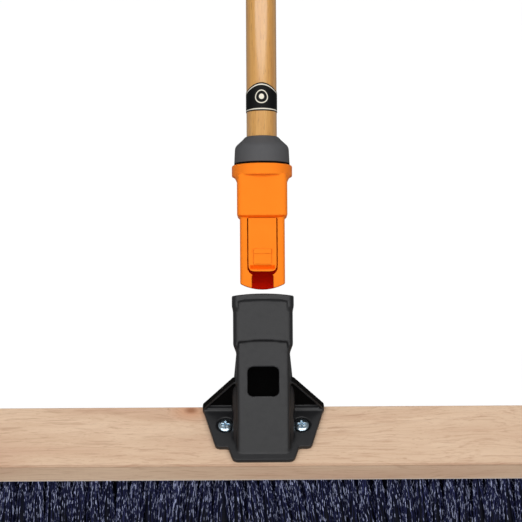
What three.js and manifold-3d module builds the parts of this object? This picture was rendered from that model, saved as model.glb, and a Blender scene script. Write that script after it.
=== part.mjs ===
// Push broom with a click-in handle: wooden block and bristle rows, moulded socket bracket,
// orange plug-in connector with a spring latch, and a round wooden handle.
// Millimetres, +Z up, +X along the block. The origin is at the middle of the bristle tips,
// and the handle leans up and back towards +Y, where the user stands.

import * as THREE from 'three';
import { mergeVertices } from 'three/addons/utils/BufferGeometryUtils.js';
import Module from 'manifold-3d';

const wasm = await Module();
wasm.setup();

// ---------------------------------------------------------------- driving dimensions

const GAP = 0.3; // clearance between pieces that touch
const HANDLE_ANGLE = THREE.MathUtils.degToRad(42); // handle above the floor

const BRISTLE_LENGTH = 76;
const BLOCK = { length: 610, depth: 60, height: 21.5, edge: 1.5 };
const BLOCK_TOP = BRISTLE_LENGTH + BLOCK.height;

const ROWS = 5;
const ROW_PITCH = 11;
const TUFTS_IN_ROW = 51;
const TUFT_SPAN = 586; // between the two end tufts of a row
const TUFT = { root: 3.2, tip: 5.4 }; // radii of the four-sided tufts
const END_FAN = THREE.MathUtils.degToRad(14); // outward lean of the end tufts
const SIDE_FAN = THREE.MathUtils.degToRad(9); // outward lean of the front and rear rows
const HOLDER = { width: 5, thickness: 1.5 };

const PLATE = { thickness: 5, rearY: 28.5, frontY: -14.5, halfRear: 52, halfFront: 39.2 };
const PLATE_TOP = BLOCK_TOP + PLATE.thickness;
const NOSE = { halfWidth: 25, frontY: -27.5 };
const FOOT_Y = -22; // where the tube's front face meets the plate
const EDGE_BEAD = 1.6; // height of the bead along the plate's rear edge
const WEB = {
  thickness: 2,
  rimDepth: 6,
  rimWidth: 2.6,
  topX: 25,
  topZ: 42.2, // above the block
  fromX: 12, // inside the tube's wall
  cornerRounding: 1.2,
};

const SCREW = {
  x: 31.7,
  y: 7.2,
  headRadius: 6,
  headHeight: 3.4,
  shankRadius: 2.4,
  length: 20,
  pointLength: 4,
  cross: { reach: 3.2, halfWidth: 0.6, depth: 2 },
};
const COUNTERBORE = { radius: 7.5, depth: 2.6 };

// Sections across the socket's axis: width along X, depth from front to back, corner radius.
const TUBE = { width: 44.2, depth: 41.5, corner: 4 };
const FLANK = { width: 51.2, depth: 37.5, corner: 7 }; // set against the tube's rear face
const FLANK_TOP = { width: 44.2, depth: 37.5 };
const MOUTH = { width: 49, depth: 46.8, corner: 5 };
const RIM = { width: 50.8, depth: 49.6, corner: 5.6 };
const THROAT = { width: 37.8, depth: 35.1, corner: 4.4 };
const WELL = { width: 42.4, depth: 40.4, corner: 5.4 };
const LEAD_IN = { width: 46.6, depth: 46.2, height: 4.5 };
const LOWER = { width: 37, depth: 34.3, corner: 4 };
const BODY = { width: 41.6, depth: 39.6, corner: 5 };
const BODY_TOP = { width: 46.8, depth: 39.6 }; // its sides spread out under the collar

// Stations along the axis, up from the level where the front face meets the plate's top.
const AT = {
  floor: 36.5,
  flankStep: 47,
  window: [46.7, 70.5],
  lipTop: 72.6,
  sideStep: [81.9, 88.5],
  frontStep: 92.1,
  wellFloor: [94.5, 96.9],
  rimUnder: [115.5, 120],
  frontGroove: 125.5,
  rimTop: 130.5,
  plugTip: 133.9,
  tongueTip: 148.6,
  toothTop: 167.2,
  tongueRoot: 192.9,
  plugStep: [192.9, 195],
  bodySpread: 223.6,
  collar: [227.9, 237.4],
  ferrule: [238, 253.4],
  neck: [258.8, 261.4],
  handleBottom: 199,
  label: [282, 305.5],
};
const WALL = 3.2; // wall of the connector's hollow lower part
const CROWN_RADIUS = 160; // the socket's rim and front step are slightly arched
const WINDOW = { width: 25.3, corner: 4.2 };
const TONGUE = { width: 23.2, thickness: 3, slit: 0.8, corner: 5 };
const THROAT_SLOT = 17.7; // narrow opening under the tongue
// The latch tooth is a bar with a thumb pad below it, which slopes off towards the tip.
const TOOTH = {
  width: 14.5,
  height: 2.4,
  barBottom: 163.2,
  padHeight: 1.5,
  padBottom: 155,
  padFoot: 153.2,
};
// A sloping groove under the pad leaves a lip round the end of the tongue.
const GROOVE = { top: 153.2, deepest: 150.9, bottom: 150.1, depth: 1.7, edge: 1.3 };
const TIP_RADIUS = 39.5; // the plug's end is rounded across its width
const COLLAR = { radius: 25.25, bevel: 0.8 };
const FERRULE = { bottomRadius: 23.25, shoulderRadius: 22.5, coneRadius: 15.4, neckRadius: 14.6 };

const HANDLE = { radius: 12.7, length: 1524, sides: 24 };
const LABEL = { thickness: 0.3, halfAngle: THREE.MathUtils.degToRad(100) };

const PANEL_HALF = 20.4; // half width of the flat front panel between the socket's round corners
const FAR = 60; // beyond the socket and the plug in every direction

// ---------------------------------------------------------------- shape helpers

// A point, and the frame, of the socket's axis: local +Z runs up the handle, local -Y is the
// face that looks up and forward.
const axisY = FOOT_Y + (TUBE.depth / 2) * Math.sin(HANDLE_ANGLE);
const axisZ = PLATE_TOP - (TUBE.depth / 2) * Math.cos(HANDLE_ANGLE);
const tilt = HANDLE_ANGLE - Math.PI / 2;
const tiltedFrame = new THREE.Matrix4().makeRotationX(tilt).setPosition(0, axisY, axisZ);
const upright = new THREE.Matrix4();

function solid(geometry, matrix = upright) {
  const plain = geometry.clone().applyMatrix4(matrix);
  plain.deleteAttribute('normal');
  plain.deleteAttribute('uv');
  const merged = mergeVertices(plain, 1e-4);
  return new wasm.Manifold(new wasm.Mesh({
    numProp: 3,
    vertProperties: merged.attributes.position.array,
    triVerts: new Uint32Array(merged.index.array),
  }));
}

function geometryOf(body) {
  const mesh = body.getMesh();
  const geometry = new THREE.BufferGeometry();
  geometry.setAttribute('position', new THREE.BufferAttribute(mesh.vertProperties, 3));
  geometry.setIndex(new THREE.BufferAttribute(mesh.triVerts, 1));
  geometry.computeVertexNormals();
  return geometry;
}

// An outline through corners given as [x, y, rounding].
function roundedOutline(corners) {
  const outline = new THREE.Shape();
  corners.forEach(([x, y, rounding], index) => {
    const corner = new THREE.Vector2(x, y);
    const [beforeX, beforeY] = corners[(index + corners.length - 1) % corners.length];
    const [afterX, afterY] = corners[(index + 1) % corners.length];
    const enter = new THREE.Vector2(beforeX, beforeY).sub(corner).setLength(rounding).add(corner);
    const leave = new THREE.Vector2(afterX, afterY).sub(corner).setLength(rounding).add(corner);
    if (index === 0) {
      outline.moveTo(enter.x, enter.y);
    } else {
      outline.lineTo(enter.x, enter.y);
    }
    if (rounding > 0) {
      outline.quadraticCurveTo(x, y, leave.x, leave.y);
    }
  });
  outline.closePath();
  return outline;
}

function roundedRectangle(width, depth, radius) {
  const x = width / 2 - radius;
  const y = depth / 2 - radius;
  const outline = new THREE.Shape();
  outline.absarc(x, y, radius, 0, Math.PI / 2);
  outline.absarc(-x, y, radius, Math.PI / 2, Math.PI);
  outline.absarc(-x, -y, radius, Math.PI, 1.5 * Math.PI);
  outline.absarc(x, -y, radius, 1.5 * Math.PI, 2 * Math.PI);
  return outline;
}

// A column along Z, which may taper from its section to a second one.
function column(section, from, to, topSection = section) {
  const outline = roundedRectangle(section.width, section.depth, section.corner);
  const height = to - from;
  const geometry = new THREE.ExtrudeGeometry(outline, {
    depth: height,
    bevelEnabled: false,
    curveSegments: 3,
  });
  const points = geometry.attributes.position;
  for (let i = 0; i < points.count; i += 1) {
    if (points.getZ(i) > height / 2) {
      points.setX(i, (points.getX(i) * topSection.width) / section.width);
      points.setY(i, (points.getY(i) * topSection.depth) / section.depth);
    }
  }
  return geometry.translate(0, 0, from);
}

// An outline drawn in X and Z, given thickness from one Y to another.
function plateAcross(outline, fromY, toY, curveSegments = 4) {
  const geometry = new THREE.ExtrudeGeometry(outline, {
    depth: toY - fromY,
    bevelEnabled: false,
    curveSegments,
  });
  return geometry.rotateX(Math.PI / 2).translate(0, toY, 0);
}

// An outline drawn in Y and Z, given the same width to both sides of X = 0.
function plateAlong(outline, width) {
  const geometry = new THREE.ExtrudeGeometry(outline, { depth: width, bevelEnabled: false });
  const turn = new THREE.Matrix4().makeBasis(
    new THREE.Vector3(0, 1, 0),
    new THREE.Vector3(0, 0, 1),
    new THREE.Vector3(1, 0, 0),
  );
  return geometry.applyMatrix4(turn).translate(-width / 2, 0, 0);
}

function box(fromCorner, toCorner) {
  const low = new THREE.Vector3(...fromCorner);
  const high = new THREE.Vector3(...toCorner);
  const size = high.clone().sub(low);
  const middle = high.add(low).multiplyScalar(0.5);
  return new THREE.BoxGeometry(size.x, size.y, size.z).translate(middle.x, middle.y, middle.z);
}

// A body turned about Z from a profile of [radius, z] points.
function turned(profile, sides = 32) {
  const points = profile.map(([radius, z]) => new THREE.Vector2(radius, z));
  return new THREE.LatheGeometry(points, sides).rotateX(Math.PI / 2);
}

// A block below an arch whose top is highest at X = 0.
function belowArch(top, halfWidth, bottom) {
  const drop = CROWN_RADIUS - Math.sqrt(CROWN_RADIUS ** 2 - halfWidth ** 2);
  const half = Math.asin(halfWidth / CROWN_RADIUS);
  const outline = new THREE.Shape();
  outline.moveTo(-halfWidth, bottom);
  outline.lineTo(halfWidth, bottom);
  outline.lineTo(halfWidth, top - drop);
  outline.absarc(0, top - CROWN_RADIUS, CROWN_RADIUS, Math.PI / 2 - half, Math.PI / 2 + half, false);
  outline.closePath();
  return outline;
}

function finish(color, roughness, metalness = 0) {
  return new THREE.MeshStandardMaterial({ color, roughness, metalness });
}

const wood = finish(0xd7b896, 0.55);
const handleWood = finish(0xd2a874, 0.4);
const blackPlastic = finish(0x1e1e20, 0.45);
const orangePlastic = finish(0xfd8a27, 0.4);
const labelFilm = finish(0x141414, 0.5);
const zinc = finish(0xc7d0d8, 0.3, 1);
const bristle = finish(0x20263c, 0.5);

const broom = new THREE.Group();
const tilted = new THREE.Group();
tilted.applyMatrix4(tiltedFrame);
broom.add(tilted);

function add(parent, name, geometry, material) {
  const mesh = new THREE.Mesh(geometry, material);
  mesh.name = name;
  parent.add(mesh);
}

// ---------------------------------------------------------------- wooden block

const screwHole = SCREW.shankRadius + GAP;

function makeBlock() {
  const { length, depth, height, edge } = BLOCK;
  const outline = roundedOutline([
    [-depth / 2, BRISTLE_LENGTH, edge],
    [depth / 2, BRISTLE_LENGTH, edge],
    [depth / 2, BRISTLE_LENGTH + height, edge],
    [-depth / 2, BRISTLE_LENGTH + height, edge],
  ]);
  let block = solid(plateAlong(outline, length));
  for (const side of [-1, 1]) {
    const hole = new THREE.CylinderGeometry(screwHole, screwHole, SCREW.length, 12);
    hole.rotateX(Math.PI / 2).translate(side * SCREW.x, SCREW.y, BLOCK_TOP + 1 - SCREW.length / 2);
    block = block.subtract(solid(hole));
  }
  return geometryOf(block);
}
add(broom, 'broom_block', makeBlock(), wood);

// ---------------------------------------------------------------- bristle rows

// Each row is a comb of leaning four-sided tufts on a thin strip under the block.
function makeBristleRow(row) {
  const outward = row - (ROWS - 1) / 2;
  const y = outward * ROW_PITCH;
  const leanY = Math.tan((SIDE_FAN * outward) / ((ROWS - 1) / 2));
  const staggered = row % 2;
  const pitch = TUFT_SPAN / (TUFTS_IN_ROW - 1);
  const count = TUFTS_IN_ROW - staggered;
  const first = -(pitch * (count - 1)) / 2;
  const top = BRISTLE_LENGTH - GAP;
  const half = (pitch * count) / 2;
  const holder = box(
    [-half, y - HOLDER.width / 2, top - HOLDER.thickness],
    [half, y + HOLDER.width / 2, top],
  );
  let comb = solid(holder);
  for (let i = 0; i < count; i += 1) {
    const x = first + i * pitch;
    const share = Math.abs(x) / (TUFT_SPAN / 2);
    const leanX = Math.sign(x) * Math.tan(END_FAN * share ** 1.5);
    const height = top - HOLDER.thickness / 2;
    const tuft = new THREE.CylinderGeometry(TUFT.root, TUFT.tip, height, 4);
    tuft.rotateY(Math.PI / 4).rotateX(Math.PI / 2).translate(0, 0, -height / 2);
    const lean = new THREE.Matrix4().set(
      1, 0, -leanX, x,
      0, 1, -leanY, y,
      0, 0, 1, height,
      0, 0, 0, 1,
    );
    comb = comb.add(solid(tuft, lean));
  }
  return geometryOf(comb);
}
for (let row = 0; row < ROWS; row += 1) {
  add(broom, `bristle_row_${row + 1}`, makeBristleRow(row), bristle);
}

// ---------------------------------------------------------------- socket bracket

function makeBracket() {
  const plateOutline = roundedOutline([
    [PLATE.halfRear, PLATE.rearY, 3.5],
    [-PLATE.halfRear, PLATE.rearY, 3.5],
    [-PLATE.halfFront, PLATE.frontY, 3],
    [-NOSE.halfWidth - 4, PLATE.frontY, 2],
    [-NOSE.halfWidth, NOSE.frontY, 4],
    [NOSE.halfWidth, NOSE.frontY, 4],
    [NOSE.halfWidth + 4, PLATE.frontY, 2],
    [PLATE.halfFront, PLATE.frontY, 3],
  ]);
  const plate = new THREE.ExtrudeGeometry(plateOutline, {
    depth: PLATE.thickness - GAP,
    bevelEnabled: false,
    curveSegments: 3,
  }).translate(0, 0, BLOCK_TOP + GAP);

  // Outer tube: straight lower part, wider mouth and the rim, all with the front arches.
  const cutFront = (top, frontOfY, from) => solid(plateAcross(
    belowArch(top, PANEL_HALF, from),
    -FAR,
    frontOfY,
    6,
  ));
  const tubeStart = -30;
  const [sideFrom, sideTo] = AT.sideStep;
  const [rimFrom, rimFull] = AT.rimUnder;
  let mouth = solid(column(TUBE, sideFrom, sideTo, MOUTH)).add(solid(column(MOUTH, sideTo, AT.rimTop)));
  mouth = mouth.subtract(cutFront(AT.frontStep, -TUBE.depth / 2, sideFrom - 5));
  let rim = solid(column(MOUTH, rimFrom, rimFull, RIM)).add(solid(column(RIM, rimFull, AT.rimTop)));
  rim = rim.subtract(cutFront(AT.frontGroove, -MOUTH.depth / 2, rimFrom - 5));
  let tube = solid(column(TUBE, tubeStart, sideTo)).add(mouth).add(rim);

  // The sides spread out towards the foot, behind the flat front panel.
  const flankShift = (TUBE.depth - FLANK.depth) / 2;
  const flanks = solid(column(FLANK, tubeStart, AT.flankStep))
    .add(solid(column(FLANK, AT.flankStep, sideFrom, FLANK_TOP)));
  tube = tube.add(flanks.translate(0, flankShift, 0));
  const crowned = belowArch(AT.rimTop, RIM.width / 2 + 1, tubeStart - 5);
  tube = tube.intersect(solid(plateAcross(crowned, -FAR, FAR, 6)));
  let body = tube.transform(tiltedFrame.elements);

  // Gusset webs on the plate's rear edge, framed by a rim along the slope and a bead along the foot.
  const webTop = BLOCK_TOP + WEB.topZ;
  const webFoot = BLOCK_TOP + GAP;
  const beadTop = PLATE_TOP + EDGE_BEAD;
  const webOuter = PLATE.halfRear - 1;
  const slope = Math.atan2(webTop - beadTop, webOuter - WEB.topX);
  const inset = WEB.rimWidth / Math.sin(slope);
  for (const side of [-1, 1]) {
    const web = roundedOutline([
      [side * WEB.fromX, webFoot, 0],
      [side * webOuter, webFoot, 0],
      [side * webOuter, beadTop, WEB.cornerRounding],
      [side * WEB.topX, webTop, 0],
      [side * WEB.fromX, webTop, 0],
    ]);
    const pocket = new THREE.Shape();
    pocket.moveTo(side * WEB.fromX, beadTop);
    pocket.lineTo(side * (webOuter - inset), beadTop);
    pocket.lineTo(side * (WEB.topX - inset), webTop);
    pocket.lineTo(side * WEB.fromX, webTop);
    pocket.closePath();
    const rearY = PLATE.rearY;
    const framed = solid(plateAcross(web, rearY - WEB.rimDepth, rearY))
      .subtract(solid(plateAcross(pocket, rearY - WEB.rimDepth - 1, rearY - WEB.thickness)));
    body = body.add(framed);
  }
  body = body.add(solid(plate));

  // Everything under the plate's underside goes.
  body = body.subtract(solid(box([-80, -80, 0], [80, 80, BLOCK_TOP + GAP])));

  // The hollow: throat, wider well and lead-in at the mouth, the latch window and the channel
  // that leaves a snap lip above the window.
  const [wellFrom, wellFull] = AT.wellFloor;
  let hollow = solid(column(THROAT, AT.floor, wellFrom + 1));
  hollow = hollow.add(solid(column(THROAT, wellFrom, wellFull, WELL)));
  hollow = hollow.add(solid(column(WELL, wellFull, AT.rimTop + 5)));
  hollow = hollow.add(solid(column(WELL, AT.rimTop - LEAD_IN.height, AT.rimTop + 0.1, LEAD_IN)));
  const [windowFrom, windowTo] = AT.window;
  const windowOutline = roundedRectangle(WINDOW.width, windowTo - windowFrom, WINDOW.corner);
  const windowCut = plateAcross(windowOutline, -FAR, 0).translate(0, 0, (windowFrom + windowTo) / 2);
  hollow = hollow.add(solid(windowCut));
  const channelFloor = -LOWER.depth / 2 - TOOTH.height - GAP;
  const channelHalf = TOOTH.width / 2 + 3 * GAP;
  hollow = hollow.add(solid(box(
    [-channelHalf, channelFloor, AT.lipTop],
    [channelHalf, 0, wellFull + 1],
  )));
  body = body.subtract(hollow.transform(tiltedFrame.elements));

  for (const side of [-1, 1]) {
    // The counterbore runs on upwards, so it also clears the flank for the driver.
    const cutHeight = 20;
    const bore = new THREE.CylinderGeometry(COUNTERBORE.radius, COUNTERBORE.radius, cutHeight, 32);
    const boreMiddle = PLATE_TOP - COUNTERBORE.depth + cutHeight / 2;
    bore.rotateX(Math.PI / 2).translate(side * SCREW.x, SCREW.y, boreMiddle);
    const hole = new THREE.CylinderGeometry(screwHole, screwHole, cutHeight, 12);
    hole.rotateX(Math.PI / 2).translate(side * SCREW.x, SCREW.y, PLATE_TOP);
    body = body.subtract(solid(bore)).subtract(solid(hole));
  }
  return geometryOf(body);
}
add(broom, 'socket_bracket', makeBracket(), blackPlastic);

// ---------------------------------------------------------------- bracket screws

// A pan head with a cross recess, a plain shank and a pointed end.
function makeScrew(side) {
  const seat = PLATE_TOP - COUNTERBORE.depth + GAP;
  const { headRadius, headHeight, shankRadius, cross } = SCREW;
  const tip = seat - SCREW.length;
  let screw = solid(turned([
    [0, tip],
    [shankRadius, tip + SCREW.pointLength],
    [shankRadius, seat],
    [headRadius, seat],
    [headRadius, seat + headHeight * 0.45],
    [headRadius * 0.86, seat + headHeight * 0.8],
    [headRadius * 0.55, seat + headHeight],
    [0, seat + headHeight],
  ], 24));
  const top = seat + headHeight;
  for (const [x, y] of [[cross.reach, cross.halfWidth], [cross.halfWidth, cross.reach]]) {
    screw = screw.subtract(solid(box([-x, -y, top - cross.depth], [x, y, top + 1])));
  }
  return geometryOf(screw).translate(side * SCREW.x, SCREW.y, 0);
}
add(broom, 'bracket_screw_left', makeScrew(-1), zinc);
add(broom, 'bracket_screw_right', makeScrew(1), zinc);

// ---------------------------------------------------------------- connector

const slotHalf = TONGUE.width / 2 + TONGUE.slit;
const frontFace = -LOWER.depth / 2;

function makeConnector() {
  const [stepFrom, stepTo] = AT.plugStep;
  const [collarFrom, collarTo] = AT.collar;
  const { radius, bevel } = COLLAR;
  const spread = solid(column(BODY, AT.bodySpread, collarFrom + 1, BODY_TOP))
    .intersect(solid(turned([
      [0, AT.bodySpread - 1],
      [radius, AT.bodySpread - 1],
      [radius, collarTo],
      [0, collarTo],
    ], 48)));
  let body = solid(column(LOWER, AT.plugTip, stepFrom + 0.5));
  body = body.add(solid(column(LOWER, stepFrom, stepTo, BODY)));
  body = body.add(solid(column(BODY, stepTo, collarFrom + 1))).add(spread);
  body = body.add(solid(turned([
    [0, collarFrom],
    [radius - bevel / 2, collarFrom],
    [radius, collarFrom + bevel / 2],
    [radius, collarTo - bevel],
    [radius - bevel, collarTo],
    [0, collarTo],
  ], 48)));

  // The lower end is rounded across its width, as a lead-in.
  const drop = Math.asin(LOWER.width / 2 / TIP_RADIUS);
  const wide = RIM.width / 2;
  const shoulder = AT.plugTip + TIP_RADIUS * (1 - Math.cos(drop));
  const keep = new THREE.Shape();
  keep.moveTo(wide, AT.neck[1]);
  keep.lineTo(-wide, AT.neck[1]);
  keep.lineTo(-wide, shoulder);
  keep.absarc(0, AT.plugTip + TIP_RADIUS, TIP_RADIUS, 1.5 * Math.PI - drop, 1.5 * Math.PI + drop, false);
  keep.lineTo(wide, shoulder);
  keep.closePath();
  body = body.intersect(solid(plateAcross(keep, -FAR, FAR, 6)));

  const hollow = {
    width: LOWER.width - 2 * WALL,
    depth: LOWER.depth - 2 * WALL,
    corner: 2,
  };
  body = body.subtract(solid(column(hollow, AT.plugTip - 5, AT.tongueRoot)));

  // A wide slot for the tongue that narrows to the opening at the tip.
  const slot = roundedOutline([
    [slotHalf, AT.tongueRoot, 0],
    [-slotHalf, AT.tongueRoot, 0],
    [-slotHalf, AT.tongueTip - 1, TONGUE.corner],
    [-THROAT_SLOT / 2, AT.tongueTip - 2.6, 1],
    [-THROAT_SLOT / 2, AT.plugTip - 5, 0],
    [THROAT_SLOT / 2, AT.plugTip - 5, 0],
    [THROAT_SLOT / 2, AT.tongueTip - 2.6, 1],
    [slotHalf, AT.tongueTip - 1, TONGUE.corner],
  ]);
  body = body.subtract(solid(plateAcross(slot, -FAR, frontFace + WALL + 1)));

  const bore = HANDLE.radius + GAP;
  const boreCut = new THREE.CylinderGeometry(bore, bore, 60, HANDLE.sides);
  boreCut.rotateX(Math.PI / 2).translate(0, 0, AT.handleBottom - GAP + 30);
  return geometryOf(body.subtract(solid(boreCut)));
}
add(tilted, 'connector_body', makeConnector(), orangePlastic);

// The spring tongue hangs from its root under the body's step, with the latch tooth on it.
function makeTongue() {
  const half = TONGUE.width / 2;
  const top = AT.tongueRoot - GAP;
  const panel = roundedOutline([
    [half, top, 0],
    [-half, top, 0],
    [-half, AT.tongueTip, TONGUE.corner],
    [half, AT.tongueTip, TONGUE.corner],
  ]);
  let tongue = solid(plateAcross(panel, frontFace, frontFace + TONGUE.thickness));
  const tooth = new THREE.Shape();
  tooth.moveTo(frontFace + 1, AT.toothTop);
  tooth.lineTo(frontFace - TOOTH.height, AT.toothTop);
  tooth.lineTo(frontFace - TOOTH.height, TOOTH.barBottom);
  tooth.lineTo(frontFace - TOOTH.padHeight, TOOTH.barBottom);
  tooth.lineTo(frontFace - TOOTH.padHeight, TOOTH.padBottom);
  tooth.lineTo(frontFace, TOOTH.padFoot);
  tooth.lineTo(frontFace + 1, TOOTH.padFoot);
  tooth.closePath();
  tongue = tongue.add(solid(plateAlong(tooth, TOOTH.width)));

  const groove = new THREE.Shape();
  groove.moveTo(frontFace - 0.01, GROOVE.top);
  groove.lineTo(frontFace + GROOVE.depth, GROOVE.deepest);
  groove.lineTo(frontFace - 0.01, GROOVE.bottom);
  groove.closePath();
  const inner = half - GROOVE.edge;
  const lip = roundedOutline([
    [inner, AT.toothTop, 0],
    [-inner, AT.toothTop, 0],
    [-inner, AT.tongueTip + GROOVE.edge, TONGUE.corner - GROOVE.edge],
    [inner, AT.tongueTip + GROOVE.edge, TONGUE.corner - GROOVE.edge],
  ]);
  const cut = solid(plateAlong(groove, TONGUE.width))
    .intersect(solid(plateAcross(lip, frontFace - 1, frontFace + TONGUE.thickness)));
  return geometryOf(tongue.subtract(cut));
}
add(tilted, 'latch_tongue', makeTongue(), orangePlastic);

// ---------------------------------------------------------------- ferrule

const [ferruleFrom, shoulder] = AT.ferrule;
const [neckFrom, neckTo] = AT.neck;
const sleeve = HANDLE.radius + GAP;
add(tilted, 'handle_ferrule', turned([
  [sleeve, ferruleFrom],
  [FERRULE.bottomRadius, ferruleFrom],
  [FERRULE.shoulderRadius, shoulder - 1],
  [FERRULE.shoulderRadius - 1, shoulder + 0.4],
  [FERRULE.coneRadius, neckFrom],
  [FERRULE.neckRadius, neckFrom + 0.8],
  [FERRULE.neckRadius, neckTo],
  [sleeve, neckTo],
  [sleeve, ferruleFrom],
]), blackPlastic);

// ---------------------------------------------------------------- handle

const handleTop = AT.handleBottom + HANDLE.length;
const dome = Array.from({ length: 5 }, (_, i) => {
  const angle = (i / 5) * (Math.PI / 2);
  return [HANDLE.radius * Math.cos(angle), handleTop - HANDLE.radius * (1 - Math.sin(angle))];
});
add(tilted, 'handle_shaft', turned([
  [0, AT.handleBottom],
  [HANDLE.radius - 1.5, AT.handleBottom],
  [HANDLE.radius, AT.handleBottom + 2],
  ...dome,
  [0, handleTop],
], HANDLE.sides), handleWood);

// A thin wrap of printed film round the front of the handle.
function makeLabel() {
  const inner = HANDLE.radius + GAP;
  const outer = inner + LABEL.thickness;
  const [from, to] = AT.label;
  const middle = -Math.PI / 2;
  const outline = new THREE.Shape();
  outline.absarc(0, 0, outer, middle - LABEL.halfAngle, middle + LABEL.halfAngle, false);
  outline.absarc(0, 0, inner, middle + LABEL.halfAngle, middle - LABEL.halfAngle, true);
  outline.closePath();
  const film = new THREE.ExtrudeGeometry(outline, {
    depth: to - from,
    bevelEnabled: false,
    curveSegments: 8,
  });
  return film.translate(0, 0, from);
}
add(tilted, 'handle_label', makeLabel(), labelFilm);

export default broom;
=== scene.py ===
import math

import bpy
import numpy as np
from mathutils import Matrix, Vector


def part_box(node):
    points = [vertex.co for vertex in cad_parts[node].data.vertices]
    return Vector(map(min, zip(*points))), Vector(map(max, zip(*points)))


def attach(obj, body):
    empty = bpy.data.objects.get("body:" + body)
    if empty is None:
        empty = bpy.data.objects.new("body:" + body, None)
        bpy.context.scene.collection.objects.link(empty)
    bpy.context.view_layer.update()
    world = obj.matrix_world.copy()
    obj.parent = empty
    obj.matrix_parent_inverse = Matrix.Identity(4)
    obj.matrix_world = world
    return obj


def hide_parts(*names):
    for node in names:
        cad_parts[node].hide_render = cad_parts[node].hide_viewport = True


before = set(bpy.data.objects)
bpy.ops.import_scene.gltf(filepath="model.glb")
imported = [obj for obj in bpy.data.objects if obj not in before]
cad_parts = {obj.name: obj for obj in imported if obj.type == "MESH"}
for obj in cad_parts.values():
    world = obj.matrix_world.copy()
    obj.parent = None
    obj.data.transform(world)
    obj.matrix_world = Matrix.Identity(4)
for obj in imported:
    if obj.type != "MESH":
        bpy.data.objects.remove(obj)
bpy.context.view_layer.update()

# ---------------------------------------------------------------- wooden block
# A planed length of pale beech, with its long edges eased by hand with sandpaper. Its colour is
# darker along the top front edge and paler along the lower edge of the front face. The grain runs
# along it, with growth lines, short dark rays and a few pinkish streaks.
# The bracket's two screws and all the tufts go into it.


class Socket:
    """An output socket of a material, which sums, differences and products can use."""

    def __init__(self, tree, output):
        self.tree = tree
        self.output = output

    def node(self, kind, settings=None, inputs=None, output=0):
        """Adds a node: first its settings, then the values or links of its sockets."""
        made = self.tree.nodes.new(kind)
        for name, value in (settings or {}).items():
            if name == "stops":
                ramp = made.color_ramp.elements
                while len(ramp) < len(value):
                    ramp.new(0.5)
                for element, (position, colour) in zip(ramp, value):
                    element.position = position
                    element.color = (*colour, 1)
            else:
                setattr(made, name, value)
        for name, value in (inputs or {}).items():
            if isinstance(value, Socket):
                self.tree.links.new(value.output, made.inputs[name])
            else:
                made.inputs[name].default_value = value
        return None if output is None else Socket(self.tree, made.outputs[output])

    def maths(self, operation, first, second):
        return self.node("ShaderNodeMath", {"operation": operation}, {0: first, 1: second})

    def __add__(self, other):
        return self.maths("ADD", self, other)

    def __sub__(self, other):
        return self.maths("SUBTRACT", self, other)

    def __rsub__(self, other):
        return self.maths("SUBTRACT", other, self)

    def __mul__(self, other):
        return self.maths("MULTIPLY", self, other)

    __radd__ = __add__
    __rmul__ = __mul__

    def stretched(self, x, y, z):
        """These coordinates, times a number along each axis."""
        return self.node("ShaderNodeVectorMath", {"operation": "MULTIPLY"}, {0: self, 1: (x, y, z)})

    def noise(self, detail=2.0, roughness=0.5, distortion=0.0):
        """Soft noise, one speck per unit of these coordinates."""
        shape = {"Vector": self, "Scale": 1, "Detail": detail, "Roughness": roughness}
        return self.node("ShaderNodeTexNoise", {}, {**shape, "Distortion": distortion})

    def between(self, low, high):
        """0 where this is under low, 1 where it is over high."""
        limits = {"Value": self, "From Min": low, "From Max": high}
        return self.node("ShaderNodeMapRange", {"clamp": True}, limits)

    def absolute(self):
        return self.maths("ABSOLUTE", self, 0)

    def larger(self, other):
        """The larger of this and the other at each point."""
        return self.maths("MAXIMUM", self, other)

    def part(self, axis):
        """One coordinate, "X", "Y" or "Z", of these."""
        return self.node("ShaderNodeSeparateXYZ", {}, {"Vector": self}, axis)

    def tint(self, first, second):
        """The first colour where this is 0 and the second where it is 1."""
        return self.node("ShaderNodeMix", {"data_type": "RGBA"}, {0: self, 6: first, 7: second}, 2)

    def bump(self, strength, distance):
        """A normal that follows this as a height."""
        return self.node("ShaderNodeBump", {}, {"Strength": strength, "Distance": distance, "Height": self})


def start_material(name):
    """A new material and, as its first socket, a point's place on the broom in metres."""
    made = bpy.data.materials.new(name)
    made.use_nodes = True
    made.node_tree.nodes.clear()
    where = Socket(made.node_tree, None).node("ShaderNodeTexCoord", {}, {}, "Object")
    return made, where


def finish_material(where, finish):
    surface = where.node("ShaderNodeBsdfPrincipled", {}, finish)
    where.node("ShaderNodeOutputMaterial", {}, {"Surface": surface}, None)


def colour(red, green, blue):
    """A colour as a paint chart gives it, from 0 to 255, made linear."""
    shares = (channel / 255 for channel in (red, green, blue))
    linear = (c / 12.92 if c < 0.04 else ((c + 0.055) / 1.055) ** 2.4 for c in shares)
    return (*linear, 1)


KNOT = (-0.061, 0.0262, 0.0975)  # a small pin knot in the top, close to the rear edge
FRONT_EDGE = 0.1255  # how far forward and up together the darker band along the top front edge starts
PALE_LOW_EDGE = (0.0776, 0.0784)  # heights over which the paler band along the lower front edge ends


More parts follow.
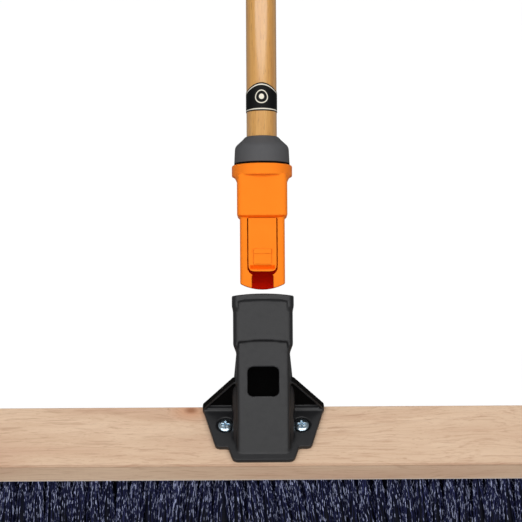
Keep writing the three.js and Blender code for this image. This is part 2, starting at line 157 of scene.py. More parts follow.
def beech():
    made, where = start_material("beech")
    to_knot = where.node("ShaderNodeVectorMath", {"operation": "SUBTRACT"}, {0: where, 1: KNOT})
    oval = to_knot.stretched(0.6, 1, 1)
    from_knot = oval.node("ShaderNodeVectorMath", {"operation": "LENGTH"}, {0: oval}, "Value")
    near_knot = 1 - from_knot.between(0.0, 0.013)
    sway = (where.stretched(7, 9, 9).noise(2) - 0.5) * 0.034 + near_knot * 0.006
    aside = where.node("ShaderNodeCombineXYZ", {}, {"Y": sway, "Z": sway})
    swayed = where.node("ShaderNodeVectorMath", {"operation": "ADD"}, {0: where, 1: aside})
    streaks = swayed.stretched(26, 520, 520).noise(2, 0.6, 0.5).between(0.54, 0.68)
    height = swayed.stretched(2.5, 60, 60).noise(1, 0.5)
    line = where.maths("SINE", height * 70, 0).between(0.2, 1.0)
    drift = where.stretched(6, 40, 40).noise(2)
    fibre = where.stretched(110, 2100, 2100).noise(2, 0.6)
    rays = where.stretched(200, 1500, 2600).noise(1).between(0.62, 0.72)
    pale = drift.between(0.35, 0.65).tint(colour(226, 197, 169), colour(213, 181, 152))
    pink = (drift.between(0.5, 0.72) * 0.5).tint(pale, colour(206, 166, 143))
    lined = (line * 0.12).tint(pink, colour(178, 132, 100))
    streaked = (streaks * 0.36).tint(lined, colour(166, 124, 98))
    flecked = (rays * 0.3).tint(streaked, colour(170, 126, 96))
    worn = (fibre.between(0.45, 0.75) * 0.2).tint(flecked, colour(196, 156, 126))
    halo = (near_knot * 0.75).tint(worn, colour(205, 142, 104))
    heart = 1 - from_knot.between(0.0012, 0.0042)
    knotted = (heart * 0.7).tint(halo, colour(138, 84, 54))
    height_up = where.part("Z")
    near_top_front_edge = (where.part("Y") * -1 + height_up).between(FRONT_EDGE, FRONT_EDGE + 0.0007)
    darker_top_edge = (near_top_front_edge * 0.42).tint(knotted, colour(150, 108, 82))
    paler_low_edge = (1 - height_up.between(*PALE_LOW_EDGE)) * 0.6
    finish_material(where, {
        "Base Color": paler_low_edge.tint(darker_top_edge, colour(238, 228, 218)),
        "Roughness": fibre * 0.16 + 0.5,
        "Normal": (fibre - streaks * 0.6).bump(0.25, 0.0002),
        "Specular IOR Level": 0.3,
    })
    return made


def soft_edges(node):
    """Smooth shading on a CAD solid whose flat faces stay flat and whose eased edges look round."""
    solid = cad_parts[node]
    for face in solid.data.polygons:
        face.use_smooth = True
    weld = solid.modifiers.new("join corners", "WELD")
    weld.merge_threshold = 0.00001
    solid.modifiers.new("flat faces lead", "WEIGHTED_NORMAL").weight = 100
    return solid


def paint(piece, material):
    piece.data.materials.clear()
    piece.data.materials.append(material)


block = soft_edges("broom_block")
paint(block, beech())
block_low, block_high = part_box("broom_block")

# ---------------------------------------------------------------- bristle rows
# Tufts of crimped plastic hair, near black with a navy sheen, folded over a staple and driven into
# blind holes in five staggered rows. The end tufts and the outer rows lean outwards, and all the
# hair is cut off level. Part of the sheen is a painted highlight: pale flecks along some hairs. A
# dark core inside each tuft is painted shade.

ROWS = 5
ROW_PITCH = 0.011
TUFTS_IN_ROW = 51
TUFT_SPAN = 0.586
END_FAN = math.radians(14)
SIDE_FAN = math.radians(9)
HAIRS_IN_TUFT = 56
HAIR_RADIUS = 0.0003
HAIR_STEPS = 10
HOLE_RADIUS = 0.0034
ROOT_SUNK = 0.0002  # clearance between the hair and the block
SPREAD = 0.0046  # how far a tuft's hair opens out at the tips
CRIMP = 0.00042
# Use has pushed the tufts sideways, by a slope that changes along the block.
WEAR_X = (-0.3, -0.2, -0.12, -0.055, -0.015, 0.03, 0.1, 0.2, 0.3)
WEAR_LEAN = (-0.03, -0.02, 0.0, -0.07, 0.08, 0.13, 0.08, 0.04, 0.0)
# Each tuft holds a solid core, coloured darker than the hair: painted shade for the tuft's inside, where no
# light gets in.
CORE_SIDES = 9
CORE_SHARE = (0.5, 0.64, 0.8)  # of the tuft's radius, where the hair is too dense to see into


def navy_hair():
    made, where = start_material("navy hair")
    strand = where.node("ShaderNodeTexCoord", {}, {}, "UV")
    hair = strand.stretched(9000, 130, 0).noise(1, 0.5)
    clump = where.stretched(110, 110, 9).noise(2, 0.5)
    # Pale flecks along some hairs: a painted highlight for light glinting on the crimped hair.
    painted_gleam = hair.between(0.555, 0.6) * (clump * 1.2 + 0.4)
    shade = strand.stretched(4000, 30, 0).noise(1).between(0.3, 0.7)
    # The cores are coloured near black: painted shade.
    in_painted_shade_core = 1 - strand.part("X").between(-0.6, -0.4)
    dark = in_painted_shade_core.tint(shade.tint(colour(19, 19, 38), colour(56, 60, 108)), colour(10, 10, 19))
    finish_material(where, {
        "Base Color": (painted_gleam * (1 - in_painted_shade_core)).tint(dark, colour(196, 204, 240)),
        "Roughness": hair * 0.15 + 0.42,
        "Specular IOR Level": 0.25,
        "Specular Tint": colour(170, 190, 255),
    })
    return made


def tuft_core(root, tip, first, chance):
    """The points and faces of a closed, slightly uneven core, whose points are numbered from first."""
    points, faces = [], []
    for level, share in enumerate(CORE_SHARE):
        place = root + (tip - root) * level / 2
        radius = (HOLE_RADIUS + SPREAD * level / 2) * share
        for corner in range(CORE_SIDES):
            around = 2 * math.pi * corner / CORE_SIDES
            reach = radius * chance.uniform(0.86, 1.1)
            points.append(place + reach * np.array([math.cos(around), math.sin(around), 0]))
    for high in (first, first + CORE_SIDES):
        low = high + CORE_SIDES
        for corner in range(CORE_SIDES):
            beside = (corner + 1) % CORE_SIDES
            faces.append((high + beside, high + corner, low + corner, low + beside))
    last = first + 2 * CORE_SIDES
    faces.append(tuple(range(first, first + CORE_SIDES)))
    faces.append(tuple(reversed(range(last, last + CORE_SIDES))))
    return points, faces


def hair_mesh(name, roots, tips, cores, chance):
    """Three-sided crimped hairs from each root to its tip, and a core in each tuft, as one mesh.

    Every hair has its own place across the map, whose height is the length along the hair.
    The cores lie at -1 on it.
    """
    count = len(roots)
    along = np.linspace(0, 1, HAIR_STEPS + 1)[None, :, None]
    bow = chance.normal(0, 0.0014, (count, 1, 3)) * np.sin(along * math.pi)
    waves = chance.uniform(4, 6, (count, 1, 1))
    phase = chance.uniform(0, 2 * math.pi, (count, 1, 2))
    crimp = np.sin(along * waves * 2 * math.pi + phase) * CRIMP * np.minimum(along * 6, 1)
    line = roots[:, None, :] * (1 - along) + tips[:, None, :] * along + bow
    line[:, :, :2] += crimp
    line[:, -1, 2] = tips[:, 2]
    thirds = np.array([0, 2, 4])[None, None, :] * math.pi / 3
    turn = chance.uniform(0, 2 * math.pi, (count, 1, 1)) + thirds
    width = HAIR_RADIUS * (1 - 0.25 * along)
    level = np.zeros_like(turn * width)
    ring = np.stack([np.cos(turn) * width, np.sin(turn) * width, level], -1)
    points = (line[:, :, None, :] + ring).reshape(-1, 3)
    first = np.arange(count)[:, None, None] * (HAIR_STEPS + 1) * 3
    step = first + np.arange(HAIR_STEPS)[None, :, None] * 3
    side = np.arange(3)[None, None, :]
    after = (side + 1) % 3
    quads = np.stack([step + side, step + 3 + side, step + 3 + after, step + after], -1)
    start = first.reshape(-1, 1)
    end = start + HAIR_STEPS * 3
    caps = np.concatenate([start + [0, 1, 2], end + [2, 1, 0]])
    faces = quads.reshape(-1, 4).tolist() + caps.tolist()
    core_points = []
    for root, tip in cores:
        more_points, more_faces = tuft_core(root, tip, len(points) + len(core_points), chance)
        core_points += more_points
        faces += more_faces
    points = np.concatenate([points, np.array(core_points)])
    mesh = bpy.data.meshes.new(name)
    mesh.from_pydata(points.tolist(), [], faces)
    mesh.polygons.foreach_set("use_smooth", np.ones(len(mesh.polygons), bool))
    mesh.update()
    strand = np.full((len(points), 2), -1.0)
    hair_points = count * (HAIR_STEPS + 1) * 3
    strand[:hair_points, 0] = np.repeat(chance.uniform(0, 1, count), (HAIR_STEPS + 1) * 3)
    strand[:hair_points, 1] = np.tile(np.repeat(along.ravel() * block_low.z, 3), count)
    corners = np.empty(len(mesh.loops), np.int32)
    mesh.loops.foreach_get("vertex_index", corners)
    chart = mesh.uv_layers.new(name="strand")
    chart.data.foreach_set("uv", strand[corners].ravel())
    piece = bpy.data.objects.new(name, mesh)
    bpy.context.scene.collection.objects.link(piece)
    return piece


def bristle_row(row, material):
    chance = np.random.default_rng(100 + row)
    outward = row - (ROWS - 1) / 2
    pitch = TUFT_SPAN / (TUFTS_IN_ROW - 1)
    count = TUFTS_IN_ROW - row % 2
    x = (np.arange(count) - (count - 1) / 2) * pitch
    share = np.abs(x) / (TUFT_SPAN / 2)
    lean_x = np.sign(x) * np.tan(END_FAN * share**1.5) + np.interp(x, WEAR_X, WEAR_LEAN)
    lean_x += chance.normal(0, 0.02, count)
    lean_y = math.tan(SIDE_FAN * outward / ((ROWS - 1) / 2)) + chance.normal(0, 0.022, count)
    tuft = np.repeat(np.arange(count), HAIRS_IN_TUFT)
    angle = chance.uniform(0, 2 * math.pi, len(tuft))
    out = np.sqrt(chance.uniform(0.12, 1, len(tuft)))
    disc = np.stack([np.cos(angle) * out, np.sin(angle) * out], 1)
    roots = np.zeros((len(tuft), 3))
    roots[:, 0] = x[tuft]
    roots[:, 1] = outward * ROW_PITCH
    roots[:, :2] += disc * HOLE_RADIUS
    roots[:, 2] = block_low.z - ROOT_SUNK
    tips = roots.copy()
    tips[:, 0] += lean_x[tuft] * block_low.z
    tips[:, 1] += lean_y[tuft] * block_low.z
    tips[:, :2] += disc * SPREAD + chance.normal(0, 0.0020, (len(tuft), 2))
    tips[:, 2] = chance.uniform(0.0, 0.0014, len(tuft))
    cores = []
    for number in range(count):
        root = np.array([x[number], outward * ROW_PITCH, block_low.z - ROOT_SUNK])
        lean = np.array([lean_x[number], lean_y[number], 0]) * block_low.z
        cores.append((root, np.array([root[0], root[1], 0.003]) + lean))
    piece = hair_mesh(f"bristle_hair_{row + 1}", roots, tips, cores, chance)
    paint(piece, material)
    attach(piece, "head")
    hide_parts(f"bristle_row_{row + 1}")


navy = navy_hair()
for row in range(ROWS):
    bristle_row(row, navy)

# ---------------------------------------------------------------- socket bracket
# One moulding in black glass-filled nylon: a winged flange on the block, gusset webs at the back
# and a square tube that takes the connector. The mould leaves a fine grain and rounds its edges.


def apply_modifiers(piece):
    view = bpy.context.evaluated_depsgraph_get()
    made = bpy.data.meshes.new_from_object(piece.evaluated_get(view))
    made.name = piece.name
    piece.modifiers.clear()
    piece.data = made


def moulded(node, name, grid, passes):
    """A fine skin over a CAD solid, with its edges and corners rounded as a mould rounds them."""
    skin = bpy.data.objects.new(name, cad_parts[node].data.copy())
    bpy.context.scene.collection.objects.link(skin)
    skin.modifiers.new("join corners", "WELD").merge_threshold = 0.00001
    remesh = skin.modifiers.new("even grid", "REMESH")
    remesh.mode = "VOXEL"
    remesh.voxel_size = grid
    soften = skin.modifiers.new("soften", "SMOOTH")
    soften.factor = 0.5
    soften.iterations = passes
    apply_modifiers(skin)
    skin.data.polygons.foreach_set("use_smooth", np.ones(len(skin.data.polygons), bool))
    return skin


def moulded_plastic(name, main, shade, gloss, specular, tint=(255, 255, 255)):
    made, where = start_material(name)
    mottle = where.stretched(70, 70, 70).noise(2)
    grain = where.stretched(2600, 2600, 2600).noise(1)
    rub = where.stretched(260, 260, 260).noise(3, 0.6).between(0.45, 0.75)
    finish_material(where, {
        "Base Color": mottle.tint(main, shade),
        "Roughness": rub * 0.08 + mottle * 0.05 + gloss,
        "Normal": (grain + mottle * 0.5).bump(0.12, 0.00008),
        "Specular IOR Level": specular,
        "Specular Tint": colour(*tint),
    })
    return made


# The socket's axis starts where the tube's front meets the flange, and leans back with the handle.
# Along it, Z runs up the handle and -Y is the side that looks up and forward.
LEAN = math.radians(42)  # of the handle above the floor
FOOT_Y = -0.022
TUBE_DEPTH = 0.0415
FLANGE = 0.005
axis_foot = Vector((
    0,
    FOOT_Y + TUBE_DEPTH / 2 * math.sin(LEAN),
    block_high.z + FLANGE - TUBE_DEPTH / 2 * math.cos(LEAN),
))
up_the_handle = Matrix.Translation(axis_foot) @ Matrix.Rotation(LEAN - math.pi / 2, 4, "X")


def face_middles(piece, frame_of_axis=True):
    """The middle of each face in millimetres, in the leaning axes or in the broom's own."""
    middles = np.empty(len(piece.data.polygons) * 3)
    piece.data.polygons.foreach_get("center", middles)
    middles = middles.reshape(-1, 3)
    if frame_of_axis:
        back = np.array(up_the_handle.inverted())
        middles = middles @ back[:3, :3].T + back[:3, 3]
    return (middles * 1000).T


def second_finish(piece, faces, material):
    """Gives some of a piece's faces another finish."""
    piece.data.materials.append(material)
    index = np.where(faces, len(piece.data.materials) - 1, 0)
    old = np.empty(len(index), np.int32)
    piece.data.polygons.foreach_get("material_index", old)
    piece.data.polygons.foreach_set("material_index", np.where(faces, index, old).astype(np.int32))


def within(places, low, high):
    return (places > low) & (places < high)


BLACK = (colour(24, 24, 26), colour(30, 30, 32))
black_nylon = moulded_plastic("black nylon", *BLACK, 0.42, 0.4)
# A near-black, almost unshiny copy of the black nylon: painted shade for faces inside hollows.
PAINTED_SHADE_BLACK = (colour(7, 6, 6), colour(10, 9, 9))
painted_shade_black = moulded_plastic("black nylon in painted shade", *PAINTED_SHADE_BLACK, 0.7, 0.06)
bracket = moulded("socket_bracket", "socket_moulding", 0.0008, 4)
paint(bracket, black_nylon)
x, y, up = face_middles(bracket)
# Each hollow is a box a little larger than its walls, in millimetres.
in_throat = within(x, -19.4, 19.4) & within(y, -18, 18) & (up > 35)
in_well = within(x, -21.7, 21.7) & within(y, -20.8, 20.8) & (up > 95)
in_window = within(x, -13.1, 13.1) & within(y, -20.1, -17) & within(up, 46, 71.2)
in_channel = within(x, -8.6, 8.6) & within(y, -19.9, -17) & within(up, 71, 100)
x, y, z = face_middles(bracket, False)
in_pocket = (np.abs(x) > 23) & within(y, 22.9, 27.4) & (z > 104.4)
hollows = in_throat | in_well | in_window | in_channel | in_pocket
above_the_block = z > 98.2
# Faces inside the tube, window, channel and gusset pockets get the painted shade.
second_finish(bracket, hollows & above_the_block, painted_shade_black)
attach(bracket, "head")
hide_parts("socket_bracket")

# ---------------------------------------------------------------- bracket screws
# Two zinc-plated pan-head screws with a cross recess, sunk in round counterbores in the flange.
# The plating is bright with a cold blue cast.


def zinc_plate():
    made, where = start_material("blue zinc")
    cast = where.stretched(420, 420, 420).noise(2)
    brushed = where.stretched(5200, 900, 900).noise(2)
    finish_material(where, {
        "Base Color": cast.tint(colour(182, 212, 232), colour(220, 232, 240)),
        "Metallic": 1.0,
        "Roughness": brushed * 0.12 + 0.2,
        "Normal": brushed.bump(0.1, 0.00005),
    })
    return made


SCREW_LENGTH = 0.02
SHANK_RADIUS = 2.4
HEAD_RADIUS = 6.3
HEAD_HEIGHT = 3.4
HEAD_SIDE = 0.36  # the share of the head's height that stands straight, under its crown
CROWN_RINGS = 34
SIDES = 72
CROSS = {"reach": 3.5, "half": 0.62, "depth": 2.2, "slope": 0.36, "end_slope": 0.7}


def pressed(x, y, height, head, seat):
    """The height that is left at a point of the head, once the cross is pressed into it."""
    arm, off = max(abs(x), abs(y)), min(abs(x), abs(y))
    across = (CROSS["half"] + CROSS["slope"] / 2 - off) / CROSS["slope"]
    along = (CROSS["reach"] - arm) / CROSS["end_slope"]
    into = min(1, max(0, across)) * min(1, max(0, along))
    if height <= seat + 1 or into <= 0:
        return height
    floor = head - CROSS["depth"] * into * (1 - 0.25 * arm / CROSS["reach"])
    return min(height, max(floor, seat + 0.8))


def screw_piece(name, screw_middle):
    """A pan head turned on its shank, in a fine grid of rings, with the cross pressed into it."""
    seat = (screw_low.z + SCREW_LENGTH) * 1000
    head = seat + HEAD_HEIGHT
    tip = screw_low.z * 1000
    rings = [
        (0.02, tip),
        (SHANK_RADIUS - 0.1, tip + 4),
        (SHANK_RADIUS, seat - 0.3),
        (HEAD_RADIUS - 0.3, seat),
        (HEAD_RADIUS, seat + 0.3),
        (HEAD_RADIUS, seat + HEAD_HEIGHT * HEAD_SIDE),
    ]
    for ring in range(1, CROWN_RINGS + 1):
        share = ring / CROWN_RINGS
        radius = HEAD_RADIUS * (1 - share) + 0.02 * share
        crown = (1 - (radius / HEAD_RADIUS) ** 3.2) ** 0.6
        rings.append((radius, seat + HEAD_HEIGHT * (HEAD_SIDE + (1 - HEAD_SIDE) * crown)))
    points = []
    for radius, height in rings:
        for i in range(SIDES):
            around = 2 * math.pi * i / SIDES
            x, y = radius * math.cos(around), radius * math.sin(around)
            left = pressed(x, y, height, head, seat)
            points.append(Vector((x + screw_middle.x, y + screw_middle.y, left)) / 1000)
    faces = [tuple(reversed(range(SIDES)))]
    for ring in range(len(rings) - 1):
        low, high = ring * SIDES, (ring + 1) * SIDES
        for i in range(SIDES):
            beside = (i + 1) % SIDES
            faces.append((low + i, low + beside, high + beside, high + i))
    faces.append(tuple((len(rings) - 1) * SIDES + i for i in range(SIDES)))
    mesh = bpy.data.meshes.new(name)
    mesh.from_pydata(points, [], faces)
    mesh.polygons.foreach_set("use_smooth", np.ones(len(faces), bool))
    piece = bpy.data.objects.new(name, mesh)
    bpy.context.scene.collection.objects.link(piece)
    return piece


zinc = zinc_plate()
for side in ("left", "right"):
    screw_low, screw_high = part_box(f"bracket_screw_{side}")
    screw = screw_piece(f"screw_{side}", (screw_low + screw_high) / 2 * 1000)
    paint(screw, zinc)
    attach(screw, "head")
    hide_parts(f"bracket_screw_{side}")

# ---------------------------------------------------------------- connector
# The orange plug on the handle's end, moulded in bright nylon: a round collar, a square body and
# a hollow lower part with the slot for the latch. It drops into the bracket's tube.

GLINT = (255, 150, 40)
ORANGE = (colour(255, 136, 38), colour(254, 130, 34))
# Darker, redder copies of the orange nylon: painted shade inside the plug, in creases and in the slits.
PAINTED_SHADE_ORANGE = (colour(240, 30, 2), colour(232, 24, 2))
PAINTED_CREASE_SHADE_ORANGE = (colour(250, 100, 12), colour(247, 96, 10))
PAINTED_SLIT_SHADE_ORANGE = (colour(92, 22, 6), colour(84, 18, 4))
orange_nylon = moulded_plastic("orange nylon", *ORANGE, 0.42, 0.12, GLINT)
painted_shade_orange = moulded_plastic("orange nylon in painted shade", *PAINTED_SHADE_ORANGE, 0.7, 0.02, GLINT)
painted_crease_shade_orange = moulded_plastic("orange nylon painted crease shade", *PAINTED_CREASE_SHADE_ORANGE, 0.6, 0.06, GLINT)
painted_slit_shade_orange = moulded_plastic("orange nylon painted slit shade", *PAINTED_SLIT_SHADE_ORANGE, 0.8, 0.02, GLINT)
SLIT_IN, SLIT_OUT = 11.7, 12.3  # the two sides of the slit beside the tongue
connector = moulded("connector_body", "connector_plug", 0.00062, 3)
paint(connector, orange_nylon)
x, y, up = face_middles(connector)
in_hollow = within(x, -15.9, 15.9) & within(y, -14.5, 14.5) & (up < 193.5)
at_slit = within(np.abs(x), SLIT_OUT - 0.45, SLIT_OUT + 0.45)
slit_side = at_slit & within(y, -16.7, -14) & within(up, 148, 192.5)
under_step = (y < -17.3) & within(up, 192.95, 194.7)
# The plug's hollow, the underside of its step and the sides of the slits are painted darker: painted shade.
second_finish(connector, in_hollow, painted_shade_orange)
second_finish(connector, under_step, painted_crease_shade_orange)
second_finish(connector, slit_side, painted_slit_shade_orange)
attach(connector, "handle")
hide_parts("connector_body")

# ---------------------------------------------------------------- latch tongue
# A springy tongue moulded with the connector, cut free on three sides. The bar across it snaps
# under the top of the bracket's window, and a thumb on the pad below the bar sets it free.

tongue = moulded("latch_tongue", "latch_spring", 0.00035, 2)
paint(tongue, orange_nylon)
x, y, up = face_middles(tongue)
under = y > -14.5
edge = (np.abs(x) > SLIT_IN - 0.25) & (y > -16.6)
# The groove under the pad, the tongue's back and its cut edges are painted darker: painted shade.
in_groove = within(x, -10.2, 10.2) & within(y, -18.5, -15) & within(up, 150.5, 153.9)
second_finish(tongue, in_groove, painted_crease_shade_orange)
second_finish(tongue, under, painted_shade_orange)
second_finish(tongue, edge & ~under, painted_slit_shade_orange)
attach(tongue, "latch")
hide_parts("latch_tongue")

# ---------------------------------------------------------------- ferrule
# A black moulded cap over the joint of handle and connector. Its shoulder slopes in to a thin lip
# that grips the wood. A narrow gap is left above the collar, and the cap's lowest band over it is
# painted near black as the gap's shadow.

def turned(name, profile, sides=96):
    """A closed ring turned round the handle's axis from (radius, height) points in millimetres."""
    points = []
    for radius, height in profile:
        for i in range(sides):
            angle = 2 * math.pi * i / sides
            place = Vector((radius * math.cos(angle), radius * math.sin(angle), height)) / 1000
            points.append(up_the_handle @ place)
    faces = []
    for ring in range(len(profile)):
        low = ring * sides
        high = (ring + 1) % len(profile) * sides
        for i in range(sides):
            after = (i + 1) % sides
            faces.append((low + i, low + after, high + after, high + i))
    mesh = bpy.data.meshes.new(name)
    mesh.from_pydata(points, [], faces)
    mesh.polygons.foreach_set("use_smooth", np.ones(len(faces), bool))
    piece = bpy.data.objects.new(name, mesh)
    bpy.context.scene.collection.objects.link(piece)
    return piece


def eased(corners, steps=4):
    """A profile through (radius, height, easing) corners, each rounded off by its easing."""
    profile = []
    for index, (radius, height, easing) in enumerate(corners):
        corner = Vector((radius, height))
        before = Vector(corners[index - 1][:2]) - corner
        after = Vector(corners[(index + 1) % len(corners)][:2]) - corner
        enter = corner + before.normalized() * easing
        leave = corner + after.normalized() * easing
        if easing == 0:
            profile.append(tuple(corner))
            continue
        for t in (step / steps for step in range(steps + 1)):
            bend = enter * (1 - t) ** 2 + corner * 2 * t * (1 - t) + leave * t * t
            profile.append(tuple(bend))
    return profile


GREY_BLACK = (colour(76, 76, 78), colour(83, 83, 85))
ferrule_plastic = moulded_plastic("ferrule nylon", *GREY_BLACK, 0.6, 0.25)
PAINTED_GAP_SHADOW_TOP = 239
ferrule = turned("ferrule_cap", eased([
    (13.0, 238.0, 0.3),
    (23.25, 238.0, 0.5),
    (23.2, 239.1, 0),
    (22.5, 253.0, 2.6),
    (16.4, 258.6, 1.4),
    (14.0, 261.2, 0.7),
    (13.0, 261.4, 0.2),
]))
paint(ferrule, ferrule_plastic)
x, y, up = face_middles(ferrule)
# The cap's lowest band is painted near black: a painted shadow of the gap over the collar.
second_finish(ferrule, up < PAINTED_GAP_SHADOW_TOP, painted_shade_black)
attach(ferrule, "handle")
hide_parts("handle_ferrule")

# ---------------------------------------------------------------- handle
# A straight dowel, 25.4 mm thick and 1524 mm long, sanded, stained golden and lacquered. Its
# grain runs from end to end and its top is rounded.

HANDLE_RADIUS = 12.7
HANDLE_FROM = 199.0
HANDLE_LENGTH = 1524.0


def lacquered_wood():
    made, where = start_material("lacquered handle wood")
    turn = {"Vector": where, "Angle": math.pi / 2 - LEAN}
    along = where.node("ShaderNodeVectorRotate", {"rotation_type": "X_AXIS"}, turn)
    lines = along.stretched(260, 260, 6).noise(3, 0.6, 0.8)
    fibre = along.stretched(2200, 2200, 60).noise(2, 0.6)
    drift = along.stretched(40, 40, 5).noise(2)
    pores = along.stretched(1700, 1700, 110).noise(1).between(0.62, 0.7)
    tone = (lines * 0.6 + drift * 0.4).between(0.36, 0.64)
    golden = tone.tint(colour(234, 180, 102), colour(208, 146, 70))
    porous = (pores * 0.45).tint(golden, colour(150, 98, 50))
    finish_material(where, {
        "Base Color": (fibre.between(0.4, 0.8) * 0.25).tint(porous, colour(176, 124, 68)),
        "Roughness": fibre * 0.12 + 0.3,
        "Normal": (fibre + lines * 0.5).bump(0.12, 0.0001),
        "Coat Weight": 1.0,
        "Coat Roughness": 0.12,
        "Coat IOR": 1.7,
    })
    return made


handle_top = HANDLE_FROM + HANDLE_LENGTH
DOME_STEPS = 14
handle_profile = [
    (0.01, HANDLE_FROM),
    (HANDLE_RADIUS - 1.5, HANDLE_FROM),
    (HANDLE_RADIUS, HANDLE_FROM + 2),
]
for step in range(DOME_STEPS + 1):
    angle = step / DOME_STEPS * math.pi / 2
    radius = max(HANDLE_RADIUS * math.cos(angle), 0.01)
    handle_profile.append((radius, handle_top - HANDLE_RADIUS * (1 - math.sin(angle))))
shaft = turned("handle_dowel", handle_profile)
paint(shaft, lacquered_wood())
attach(shaft, "handle")
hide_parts("handle_shaft")

# ---------------------------------------------------------------- label
# A printed film wrapped round the front of the handle, arched along its top. It is black, with
# cream edge lines and a plain ring and dot.

LABEL = {"from": 282.0, "to": 305.5, "radius": 12.88, "film": 0.2, "arch": 7.0}
LABEL_REACH = math.radians(100)  # round the handle, to each side of its front


def label_print():
    made, where = start_material("printed label")
    flat = where.node("ShaderNodeTexCoord", {}, {}, "UV")
    middle = {0: flat, 1: (0, 0.5, 0)}
    centred = flat.node("ShaderNodeVectorMath", {"operation": "SUBTRACT"}, middle)
    from_middle = flat.node("ShaderNodeVectorMath", {"operation": "LENGTH"}, {0: centred}, "Value")
    off_middle = (flat.part("Y") - 0.5).absolute()
    border = off_middle.between(0.405, 0.415) * (1 - off_middle.between(0.445, 0.455))
    ring = from_middle.between(0.2, 0.21) * (1 - from_middle.between(0.235, 0.245))
    dot = 1 - from_middle.between(0.09, 0.1)
    marks = border.larger(ring).larger(dot)
    scuff = where.stretched(900, 900, 900).noise(3, 0.6)
    finish_material(where, {
        "Base Color": marks.tint(colour(14, 14, 15), colour(232, 226, 210)),
        "Roughness": scuff * 0.15 + 0.5,
        "Normal": scuff.bump(0.08, 0.00005),
        "Specular IOR Level": 0.12,
    })
    return made


def label_piece():
    """A thin curved film. Its map runs from -1 to 1 round the handle and 0 to 1 up it."""
    sides, rises = 64, 12
    points, maps = [], []
    for radius in (LABEL["radius"], LABEL["radius"] + LABEL["film"]):
        for rise in range(rises + 1):
            for i in range(sides + 1):
                share = 2 * i / sides - 1
                angle = -math.pi / 2 + share * LABEL_REACH
                dip = LABEL["arch"] * math.sin(share * LABEL_REACH) ** 2
                height = LABEL["from"] + (LABEL["to"] - dip - LABEL["from"]) * rise / rises
                place = Vector((radius * math.cos(angle), radius * math.sin(angle), height)) / 1000
                points.append(up_the_handle @ place)
                maps.append((share, rise / rises))
    layer = (sides + 1) * (rises + 1)
    faces = []
    for rise in range(rises):
        for i in range(sides):
            a = rise * (sides + 1) + i
            b = a + sides + 1
            faces.append((a, b, b + 1, a + 1))
            faces.append((layer + a, layer + a + 1, layer + b + 1, layer + b))
    for i in range(sides):
        top = rises * (sides + 1) + i
        faces.append((i, i + 1, layer + i + 1, layer + i))
        faces.append((top, layer + top, layer + top + 1, top + 1))
    for rise in range(rises):
        a = rise * (sides + 1)
        b = a + sides + 1
        c = a + sides
        d = c + sides + 1
        faces.append((a, layer + a, layer + b, b))
        faces.append((c, d, layer + d, layer + c))
    mesh = bpy.data.meshes.new("printed_label")
    mesh.from_pydata(points, [], faces)
    chart = mesh.uv_layers.new(name="print")
    for loop in mesh.loops:
        chart.data[loop.index].uv = maps[loop.vertex_index]
    piece = bpy.data.objects.new("printed_label", mesh)
    bpy.context.scene.collection.objects.link(piece)
    return piece


label = label_piece()
paint(label, label_print())
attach(label, "handle")
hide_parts("handle_label")

# ---------------------------------------------------------------- studio
# A seamless white floor, which glows except in the shade under the head, and three large soft
# lamps: in front, overhead and behind. The camera looks down on the head from the front.

scene = bpy.context.scene
scene.view_settings.view_transform = "Standard"


def floor_paint():
    made, where = start_material("white floor")
    seen = where.node("ShaderNodeLightPath", {}, {}, "Is Camera Ray")
    plain = where.node("ShaderNodeBsdfDiffuse", {}, {"Color": (0.35, 0.35, 0.35, 1)})
    glow = where.node("ShaderNodeEmission", {}, {"Color": (1, 1, 1, 1), "Strength": 1.07})
    past_end = where.part("X").absolute().between(0.295, 0.32)
    past_side = where.part("Y").absolute().between(0.03, 0.05)
    clear = past_end.larger(past_side)
    mixed = where.node("ShaderNodeMixShader", {}, {0: seen * clear * 0.93, 1: plain, 2: glow})
    where.node("ShaderNodeOutputMaterial", {}, {"Surface": mixed}, None)
    return made


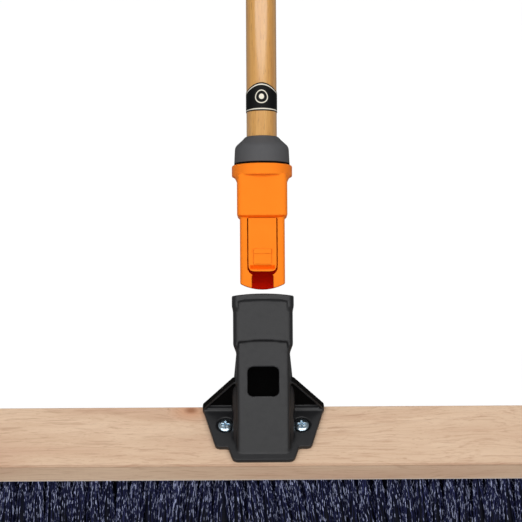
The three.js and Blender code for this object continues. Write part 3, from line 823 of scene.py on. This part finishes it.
floor_mesh = bpy.data.meshes.new("floor")
FLOOR = 12.0  # half its width
floor_corners = [(x * FLOOR, y * FLOOR, 0) for x, y in ((-1, -1), (1, -1), (1, 1), (-1, 1))]
floor_mesh.from_pydata(floor_corners, [], [(0, 1, 2, 3)])
floor = bpy.data.objects.new("floor", floor_mesh)
scene.collection.objects.link(floor)
floor.data.materials.append(floor_paint())

world = bpy.data.worlds.new("studio")
scene.world = world
world.use_nodes = True
sky = world.node_tree.nodes["Background"]
sky.inputs["Color"].default_value = (1, 1, 1, 1)
sky_light = Socket(world.node_tree, None)
behind = sky_light.node("ShaderNodeLightPath", {}, {}, "Is Camera Ray")
world.node_tree.links.new((behind * 0.8 + 0.2).output, sky.inputs["Strength"])

subject = Vector((0, 0.107, 0.194))  # about the middle of the socket and the connector


def lamp(name, direction, distance, size, power):
    data = bpy.data.lights.new(name, "AREA")
    data.shape = "RECTANGLE"
    data.size, data.size_y = size
    data.energy = power
    made = bpy.data.objects.new(name, data)
    scene.collection.objects.link(made)
    away = Vector(direction).normalized()
    made.location = subject + away * distance
    made.rotation_mode = "QUATERNION"
    made.rotation_quaternion = away.to_track_quat("Z", "Y")


lamp("front lamp", (0, -1.19, 1.0), 2.2, (4.8, 0.9), 34)
lamp("overhead lamp", (0, -0.378, 1.0), 2.28, (4.6, 0.6), 38)
lamp("rear lamp", (0, 1.0, 1.4), 2.6, (1.6, 1.0), 7)

VIEW_DOWN = math.radians(46)
VIEW_DISTANCE = 1.0
VIEW_ROLL = math.radians(0.35)
VIEW_SIDE = -0.00125
VIEW_WIDTH = 0.434826  # of the broom that is in view, at that distance
SENSOR = 36
camera_data = bpy.data.cameras.new("camera")
camera_data.sensor_width = SENSOR
camera_data.lens = SENSOR * VIEW_DISTANCE / VIEW_WIDTH
camera = bpy.data.objects.new("camera", camera_data)
scene.collection.objects.link(camera)
forward = Vector((0, math.cos(VIEW_DOWN), -math.sin(VIEW_DOWN)))
camera.rotation_mode = "QUATERNION"
roll = Matrix.Rotation(-VIEW_ROLL, 3, "Z").to_quaternion()
camera.rotation_quaternion = forward.to_track_quat("-Z", "Y") @ roll
aim = Vector((VIEW_SIDE, 0.1074, block_high.z + 0.09686))
camera.location = aim - forward * VIEW_DISTANCE
scene.camera = camera
